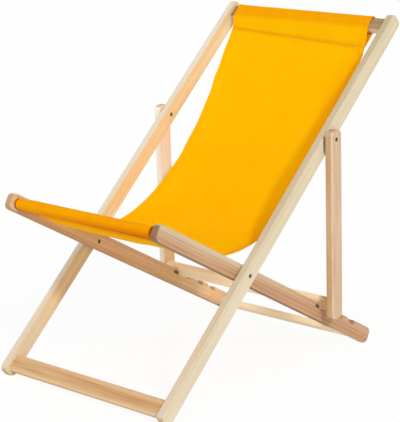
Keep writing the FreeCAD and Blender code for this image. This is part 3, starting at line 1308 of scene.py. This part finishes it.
        # Painted shade on the bars, in the fold under the front bar and at the front sleeve's ends.
        on_bar = 0.0
        for first, last in ((Part.HEAD_SLEEVE, Part.HANG), (Part.FRONT_SLEEVE, Part.FRONT_FLAP)):
            inside = min(distance - self.marks[first + 1], self.marks[last - 1] - distance)
            on_bar = max(on_bar, ramp(inside, *self.sleeve_fade))
        past = distance - self.marks[Part.FRONT_FLAP]
        fold = sum(share * ramp(past, *reach) for share, *reach in self.fold_shade_steps)
        fold *= self.lean(across) * (1 - self.fold_loss * ramp(past, *self.fold_end))
        end = 0.0
        if distance > self.main_end:
            reach = self.end_reach[across > 0]
            end = self.sleeve_end_shade * ramp(abs(across), 1 - reach, 1 - reach / 2)
        return max(self.sleeve_shade * on_bar, fold, end)

    def tint(self, across: float, distance: float) -> float:
        """How much deeper the cloth's colour is, by its sewing and its hems, partly painted shade,
        and by painted shade on the bars and in the folds.

        Args:
            across: Place over the width.
            distance: How far along the cloth.

        Returns:
            The share of the deeper colour, below 0 where painted light makes the left hem paler.
        """
        # Seams and the right hem: partly their own deeper colour, partly painted shade; the left
        # hem is painted paler, as painted light.
        seam = self.seam_tint_and_shade * ramp(self.from_seam(distance), *self.seam_fade)
        hem = self.hem_light_and_shade[across > 0] * ramp(abs(across), *self.hem_fade)
        started = ramp(distance - self.main_start, *self.hem_start)
        hem *= self.hem_left + (1 - self.hem_left) * started
        return max(hem, seam, self.depth(across, distance))

    def edge(self, marks: tuple[Pair, ...], distance: float) -> float:
        """Place of a side edge across the chair, at a distance from the top of the head bar.

        Args:
            marks: Distances and places of the edge.
            distance: How far along the cloth.

        Returns:
            The place across the chair.
        """
        distance = max(distance, 0.0)
        for (d1, x1), (d2, x2) in zip(marks, marks[1:]):
            if distance <= d2:
                return x1 + (x2 - x1) * ramp(distance, d1, d2)
        return marks[-1][1]

    def wrinkle(self, across: float, x: float, distance: float) -> float:
        """How far the cloth stands off its side view, on the sitter's side.

        Args:
            across: Place over the width.
            x: Place across the chair.
            distance: How far along the cloth.

        Returns:
            The height off the side view.
        """
        done = (distance - self.main_start) / (self.main_end - self.main_start)
        inside = ramp(done, 0, self.settle) * ramp(done, 1, 1 - self.settle)
        deep = inside * (self.hollow_left + (1 - self.hollow_left) * ramp(done, *self.hollow_end))
        hollow = -self.hollow * (1 - abs(across) ** self.hollow_power) * deep
        lip = self.lip * ramp(abs(across), self.lip_start, 1) * deep
        seam = self.from_seam(distance)
        near = math.exp(-seam / self.pucker_reach) * ramp(seam, 0, self.pucker_start)
        pucker = self.pucker.at(x, seam) * near
        uneven = (self.soft.at(x, distance) + self.crease.at(x, distance)) * inside
        return hollow + lip + pucker + uneven

    def place(self, across: float, distance: float) -> Vector:
        """Point of the cloth's middle layer.

        Args:
            across: Place over the width.
            distance: How far along the cloth.

        Returns:
            The point in the chair's frame.
        """
        done, mean = 0.0, self.outline(0.0)
        for index, stretch in enumerate(mean):
            if distance <= done + stretch.length() + TINY or stretch is mean[-1]:
                break
            done += stretch.length()
        share = (distance - done) / stretch.length()
        here = self.outline(across)[index]
        point, way = here.at(share * here.length())
        past = distance - self.main_start + self.edge_start
        low = self.edge(self.left_edge, abs(past))
        high = self.edge(self.right_edge, max(past, -self.right_return * past))
        x = low + (high - low) * (across + 1) / 2
        return Vector((x, point.y, point.z)) + right_of(way) * self.wrinkle(across, x, distance)

    def sheet(self) -> Piece:
        """Cloth with its sleeves and thicker hems.

        Returns:
            The finished sling.
        """
        rows = self.rows()
        steps = len(rows) - 1
        bpy.ops.mesh.primitive_grid_add(x_subdivisions=self.columns, y_subdivisions=steps, size=1.0)
        piece = bpy.context.object
        piece.name = piece.data.name = "sling_cloth"
        mesh = piece.data
        flat, hems, tints = [], [], []
        for vertex in mesh.vertices:
            across = 2 * vertex.co.x
            across = math.copysign(1 - (1 - abs(across)) ** self.column_power, across)
            distance = rows[round((vertex.co.y + 0.5) * steps)]
            side = (1 - abs(across)) * self.width / 2
            flat.append((across * self.width / 2, distance))
            hems.append(ramp(side, self.hem + self.hem_fold, self.hem - self.hem_fold))
            tints.append(self.tint(across, distance))
            vertex.co = self.place(across, distance)
        layer = mesh.uv_layers[0]
        layer.name = "flat"
        for loop in mesh.loops:
            layer.data[loop.index].uv = flat[loop.vertex_index]
        mesh.attributes.new("sewing_and_shade", "FLOAT", "POINT").data.foreach_set("value", tints)
        group = piece.vertex_groups.new(name="hem")
        for index, hem in enumerate(hems):
            group.add([index], (1 + hem) / 2, "REPLACE")
        self.thicken(piece)
        self.shade_below(piece, flat)
        return piece

    def thicken(self, piece: Piece) -> None:
        """Give the flat cloth its thickness, twice as much at the hems.

        Args:
            piece: Cloth as a single layer.
        """
        solid = piece.modifiers.new("thickness", "SOLIDIFY")
        solid.thickness = 2 * self.cloth
        solid.offset = 0.0
        solid.vertex_group = "hem"
        solid.thickness_vertex_group = 0.0
        solid.use_even_offset = True
        bpy.ops.object.modifier_apply(modifier=solid.name)
        bpy.ops.object.mode_set(mode="EDIT")
        bpy.ops.mesh.select_all(action="SELECT")
        bpy.ops.mesh.normals_make_consistent(inside=False)
        bpy.ops.object.mode_set(mode="OBJECT")
        bpy.ops.object.shade_smooth_by_angle(angle=math.radians(self.smooth_angle))

    def shade_below(self, piece: Piece, flat: list[Pair]) -> None:
        """Deepen the colour of the lower face just behind the front bar, which keeps the light off.

        Args:
            piece: Cloth with its thickness, the lower layer's points first.
            flat: Place of each of those points on the flat cloth.
        """
        sewing_and_shade = piece.data.attributes["sewing_and_shade"].data
        for index, (side, distance) in enumerate(flat):
            gone = self.main_end - distance
            if 0 < gone < self.below_reach:
                tint = self.below_tint * self.lean(2 * side / self.width)
                tint *= 1 - ramp(gone, *self.below_fade)
                sewing_and_shade[index].value = max(sewing_and_shade[index].value, tint)

    def seams(self) -> list[tuple[Seam, float]]:
        """Rows of stitching: along each side hem, and over the width at each sleeve.

        Returns:
            How each row runs, and its place over the width or along the cloth.
        """
        inset = 1 - 2 * (self.hem - self.stitch_inset) / self.width
        over = (
            self.main_start + self.seam_inset,
            self.main_start - self.stitch_inset,
            self.main_end - self.seam_inset,
            self.whole - self.flap + self.seam_inset,
        )
        sides = [(Seam.SIDE, place) for place in (-inset, inset)]
        return sides + [(Seam.OVER, distance) for distance in over]

    def one_stitch(self) -> Piece:
        """Short thread that lies along X, with its ends drawn in.

        Returns:
            The stitch, at the origin.
        """
        bpy.ops.mesh.primitive_cylinder_add(
            vertices=self.thread_sides,
            radius=self.thread / 2,
            depth=self.stitch * self.stitch_straight,
            rotation=(0, math.pi / 2, 0),
        )
        piece = bpy.context.object
        piece.name = piece.data.name = "sling_stitching"
        bpy.ops.object.transform_apply(location=False, rotation=True, scale=False)
        bpy.ops.object.mode_set(mode="EDIT")
        bpy.ops.mesh.select_all(action="DESELECT")
        bpy.ops.object.mode_set(mode="OBJECT")
        for face in piece.data.polygons:
            face.select = abs(face.normal.x) > self.end_facing
        bpy.ops.object.mode_set(mode="EDIT")
        bpy.ops.mesh.select_mode(type="FACE")
        tip = self.stitch * (1 - self.stitch_straight) / 2
        bpy.ops.mesh.extrude_region_shrink_fatten(TRANSFORM_OT_shrink_fatten={"value": tip})
        bpy.ops.transform.resize(value=(1, self.stitch_tip, self.stitch_tip))
        bpy.ops.object.mode_set(mode="OBJECT")
        return piece

    def stitch_places(self) -> list[tuple[Vector, Vector, Vector]]:
        """Places of all stitches.

        Returns:
            Middle, direction and outward side of each.
        """
        pitch = self.stitch + self.stitch_gap
        places = []
        for seam, value in self.seams():
            if seam is Seam.SIDE:
                start, layers = self.main_start + self.stitch_end, 2
                count = int((self.main_end - self.stitch_end - start) / pitch)
                spots = [(value, start + k * pitch) for k in range(count)]
            else:
                half, layers = self.width / 2 - self.stitch_end, 1
                count = int(2 * half / pitch)
                spots = [((k * pitch - half) * 2 / self.width, value) for k in range(count)]
            rise = layers * self.cloth / 2 + self.thread * self.thread_rise
            for across, distance in spots:
                along, over = (
                    (self.place(across + a, distance + d) - self.place(across - a, distance - d))
                    for a, d in self.probes
                )
                up = along.cross(over).normalized()
                way = along if seam is Seam.SIDE else over
                places.append((self.place(across, distance) + up * rise, way.normalized(), up))
        return places

    def stitching(self) -> Piece:
        """Rows of small stitches on the cloth's outer face.

        Returns:
            The finished stitching, as one piece.
        """
        piece = self.one_stitch()
        shape = [vertex.co.copy() for vertex in piece.data.vertices]
        faces = [tuple(face.vertices) for face in piece.data.polygons]
        points, polygons = [], []
        for spot, way, up in self.stitch_places():
            side = up.cross(way)
            polygons += [tuple(len(points) + k for k in face) for face in faces]
            points += [spot + way * c.x + side * c.y + up * c.z for c in shape]
        mesh = bpy.data.meshes.new("sling_stitching")
        mesh.from_pydata(points, [], polygons)
        piece.data = mesh
        bpy.ops.object.shade_smooth()
        return piece

    def build(self) -> list[Piece]:
        """Model, dress and hang the sling and its stitching.

        Returns:
            The finished pieces.
        """
        self.lay_out()
        turn = self.main_start + self.turn_share * (self.main_end - self.main_start)
        cloth = self.sheet()
        dress(cloth, Canvas().material("yellow_canvas", turn))
        stitching = self.stitching()
        dress(stitching, Thread().material("sewing_thread"))
        for piece in (cloth, stitching):
            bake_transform(piece)
        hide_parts("sling")
        return [cloth, stitching]


@dataclass(frozen=True)
class Lamp:
    """Distant lamp: its power, where its light comes from in degrees, and how soft it is."""

    name: str
    power: float
    side: float
    height: float
    spread: float

    def build(self) -> None:
        """Hang the lamp."""
        turn = (math.radians(90 - self.height), 0.0, math.radians(self.side))
        bpy.ops.object.light_add(type="SUN", rotation=turn)
        lamp = bpy.context.object
        lamp.name = lamp.data.name = self.name
        lamp.data.energy = self.power
        lamp.data.angle = math.radians(self.spread)


@dataclass
class Studio:
    """Pale floor, a key light from the right, a soft one from the front and the camera."""

    floor_size: float = 24.0
    floor_colours: tuple[Colour, Colour] = (linear(250, 250, 249), linear(253, 253, 253))
    mottle_scale: float = 3.0
    white_share: float = 0.92
    world_level: float = 0.6
    lamps: tuple[Lamp, ...] = (
        Lamp("key_light", power=1.32, side=67.0, height=33.0, spread=6.0),
        Lamp("side_light", power=0.2, side=104.0, height=18.0, spread=24.0),
        Lamp("front_light", power=0.6, side=-6.0, height=36.0, spread=70.0),
    )
    camera_spot: tuple[float, float, float] = (2.5531, -2.9113, 1.2911)
    camera_turn: tuple[float, float, float] = (77.25, 0.0, 41.17)
    lens: float = 136.0
    sensor: float = 36.0
    shift: Pair = (-0.0131, -0.0347)

    def floor(self) -> None:
        """Floor that shows white with a faint shadow."""
        bpy.ops.mesh.primitive_plane_add(size=self.floor_size)
        piece = bpy.context.object
        piece.name = piece.data.name = "studio_floor"
        shade = Shader(bpy.data.materials.new("pale_floor"))
        spot = shade.add("TexCoord", {}).outputs["Object"]
        mottle = shade.level(shade.noise(spot, self.mottle_scale), MIDDLE)
        plain = shade.add("BsdfDiffuse", {"Color": shade.mix(mottle, *self.floor_colours)})
        glow = shade.add("Emission", {"Strength": 1.0})
        share = shade.math("MULTIPLY", shade.seen(), self.white_share)
        both = shade.add("MixShader", {0: share, 1: plain.outputs[0], 2: glow.outputs[0]})
        shade.add("OutputMaterial", {"Surface": both.outputs[0]})
        piece.data.materials.append(shade.owner)

    def lights(self) -> None:
        """Lamps and an even white surround."""
        for lamp in self.lamps:
            lamp.build()
        shade = Shader(bpy.data.worlds.new("studio_surround"))
        strength = shade.level(shade.seen(), WHOLE, (self.world_level, 1.0))
        sky = shade.add("Background", {"Color": (1.0, 1.0, 1.0), "Strength": strength})
        shade.add("OutputWorld", {"Surface": sky.outputs[0]})
        bpy.context.scene.world = shade.owner

    def camera(self) -> None:
        """Camera that takes the picture."""
        turn = [math.radians(angle) for angle in self.camera_turn]
        bpy.ops.object.camera_add(location=self.camera_spot, rotation=turn)
        camera = bpy.context.object
        camera.data.lens = self.lens
        camera.data.sensor_width = self.sensor
        camera.data.shift_x, camera.data.shift_y = self.shift
        bpy.context.scene.camera = camera
        bpy.context.scene.view_settings.view_transform = "Standard"


def timber_frames(pivots: dict[str, Vector]) -> list[TimberFrame]:
    """The three hinged frames, with the finish of each of their boards.

    Args:
        pivots: Places of the joints by name.

    Returns:
        The back frame, the seat frame and the prop frame.
    """
    # Pale edges are a painted highlight on the bars' eased edges.
    pale_edge_highlight = linear(246, 226, 190)
    back = TimberFrame(
        name="back frame",
        line=SideLine(pivots["seat_fold"], angle=43.7),
        seed=3,
        rails={
            # Narrow front faces partly painted shade, paler towards the lower end, and painted
            # shade of the gap beside the strut's head.
            "long_rail_right": Timber(
                Tone.CREAM, Tone.FAWN, figure=0.45, tail=(0.35, -0.5), tail_share=(0.15, 0.5),
                gap_shade=(0.1927, 0.0055), gap_shade_size=(0.026, 0.0027), gap_shade_turn=48.7,
                gap_shade_share=0.95, gap_shade_colour=linear(104, 62, 28),
            ),
            # Darker towards its foot.
            "long_rail_left": Timber(
                Tone.STRAW, Tone.IVORY, tail=(-0.36, -0.48), tail_share=(0.5, 0.4),
                tail_tone_light_shade=linear(208, 196, 172),
            ),
        },
        bars={
            "head_bar": Timber(Tone.BROWN, Tone.BLUSH, edge_share=0.0, under_shade_share=0.0),
            # Painted highlight on the eased edges.
            "foot_stretcher": Timber(
                Tone.AMBER, Tone.AMBER, flame=0.9, margin=0.7, edge_tint_and_highlight=pale_edge_highlight,
                under_shade_share=0.0,
            ),
        },
    )
    seat = TimberFrame(
        name="seat frame",
        line=SideLine(pivots["seat_fold"], angle=-28.2),
        seed=11,
        rails={
            # Paler narrow faces and upper part, partly painted light; painted shade on the
            # underside and of the gap at the prop bar.
            "seat_rail_right": Timber(
                Tone.SALMON, Tone.CREAM, figure=0.6, crown_highlight=0.8, under_shade_share=0.8,
                under_end=(0.27, 0.30), end_share=0.95, end_colour=linear(118, 92, 62),
                gap_shade=(0.198, 0.012), gap_shade_share=0.85,
            ),
            # Painted shade on the underside and of the gap at the prop bar.
            "seat_rail_left": Timber(
                Tone.HONEY, Tone.HONEY, figure=0.4, under_shade_share=0.4, end_share=0.7,
                gap_shade=(0.194, 0.0125), gap_shade_share=0.85,
            ),
        },
        bars={
            # Painted highlight on the eased edges.
            "seat_front_bar": Timber(Tone.HONEY, Tone.HONEY, edge_tint_and_highlight=pale_edge_highlight),
            # Painted highlight on the eased edges, and painted shade at its left end.
            "rear_stretcher": Timber(
                Tone.LEMON, Tone.LEMON, edge_tint_and_highlight=pale_edge_highlight, under_shade_share=0.0,
                tail=(-0.15, -0.185), tail_share=(0.9, 0.9), tail_tone_light_shade=linear(226, 188, 142),
            ),
        },
    )
    prop = TimberFrame(
        name="prop frame",
        line=SideLine(pivots["prop_fold"], angle=-87.6, turned=True),
        seed=19,
        rails={
            # Painted highlight on the eased edges; the narrow faces' tone partly painted light.
            "prop_strut_right": Timber(
                Tone.PEACH, Tone.TAN, figure=0.5, edge_share=0.6, edge_tint_and_highlight=linear(238, 214, 182),
            ),
            # Painted light: near-white narrow faces, and a warmer, paler lower part where light
            # from the cloth falls.
            "prop_strut_left": Timber(
                Tone.BLUSH, Tone.CHALK, tail=(0.05, 0.15), tail_share=(0.9, 0.0),
                tail_tone_light_shade=linear(255, 209, 146),
            ),
        },
        bars={
            # Painted highlight on the eased edges, and painted shade near its right end beside the
            # strut.
            "prop_bar": Timber(
                Tone.LEMON, Tone.LEMON, edge_tint_and_highlight=pale_edge_highlight, under_shade_share=0.0,
                tail=(0.24, 0.256), tail_share=(0.9, 0.9), tail_tone_light_shade=linear(184, 142, 94),
            ),
        },
    )
    return [back, seat, prop]


def main() -> None:
    """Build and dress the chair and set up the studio."""
    logging.basicConfig(level=logging.INFO, format="%(message)s")
    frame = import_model()
    bpy.ops.object.select_all(action="DESELECT")
    nodes = frame["nodes"]
    pivots = {joint["name"]: Vector(joint["pos_m"]) for joint in frame["joints"]}
    back, seat, prop = timber_frames(pivots)
    for timber in (back, seat, prop):
        for piece in timber.build(nodes):
            LOG.info("%s: %s", timber.name, piece.name)
    for piece in Hardware().build(nodes):
        LOG.info("hardware: %s", piece.name)
    for piece in Sling(back.line, seat.line).build():
        LOG.info("sling: %s, %d faces", piece.name, len(piece.data.polygons))
    studio = Studio()
    studio.floor()
    studio.lights()
    studio.camera()


if __name__ == "__main__":
    main()
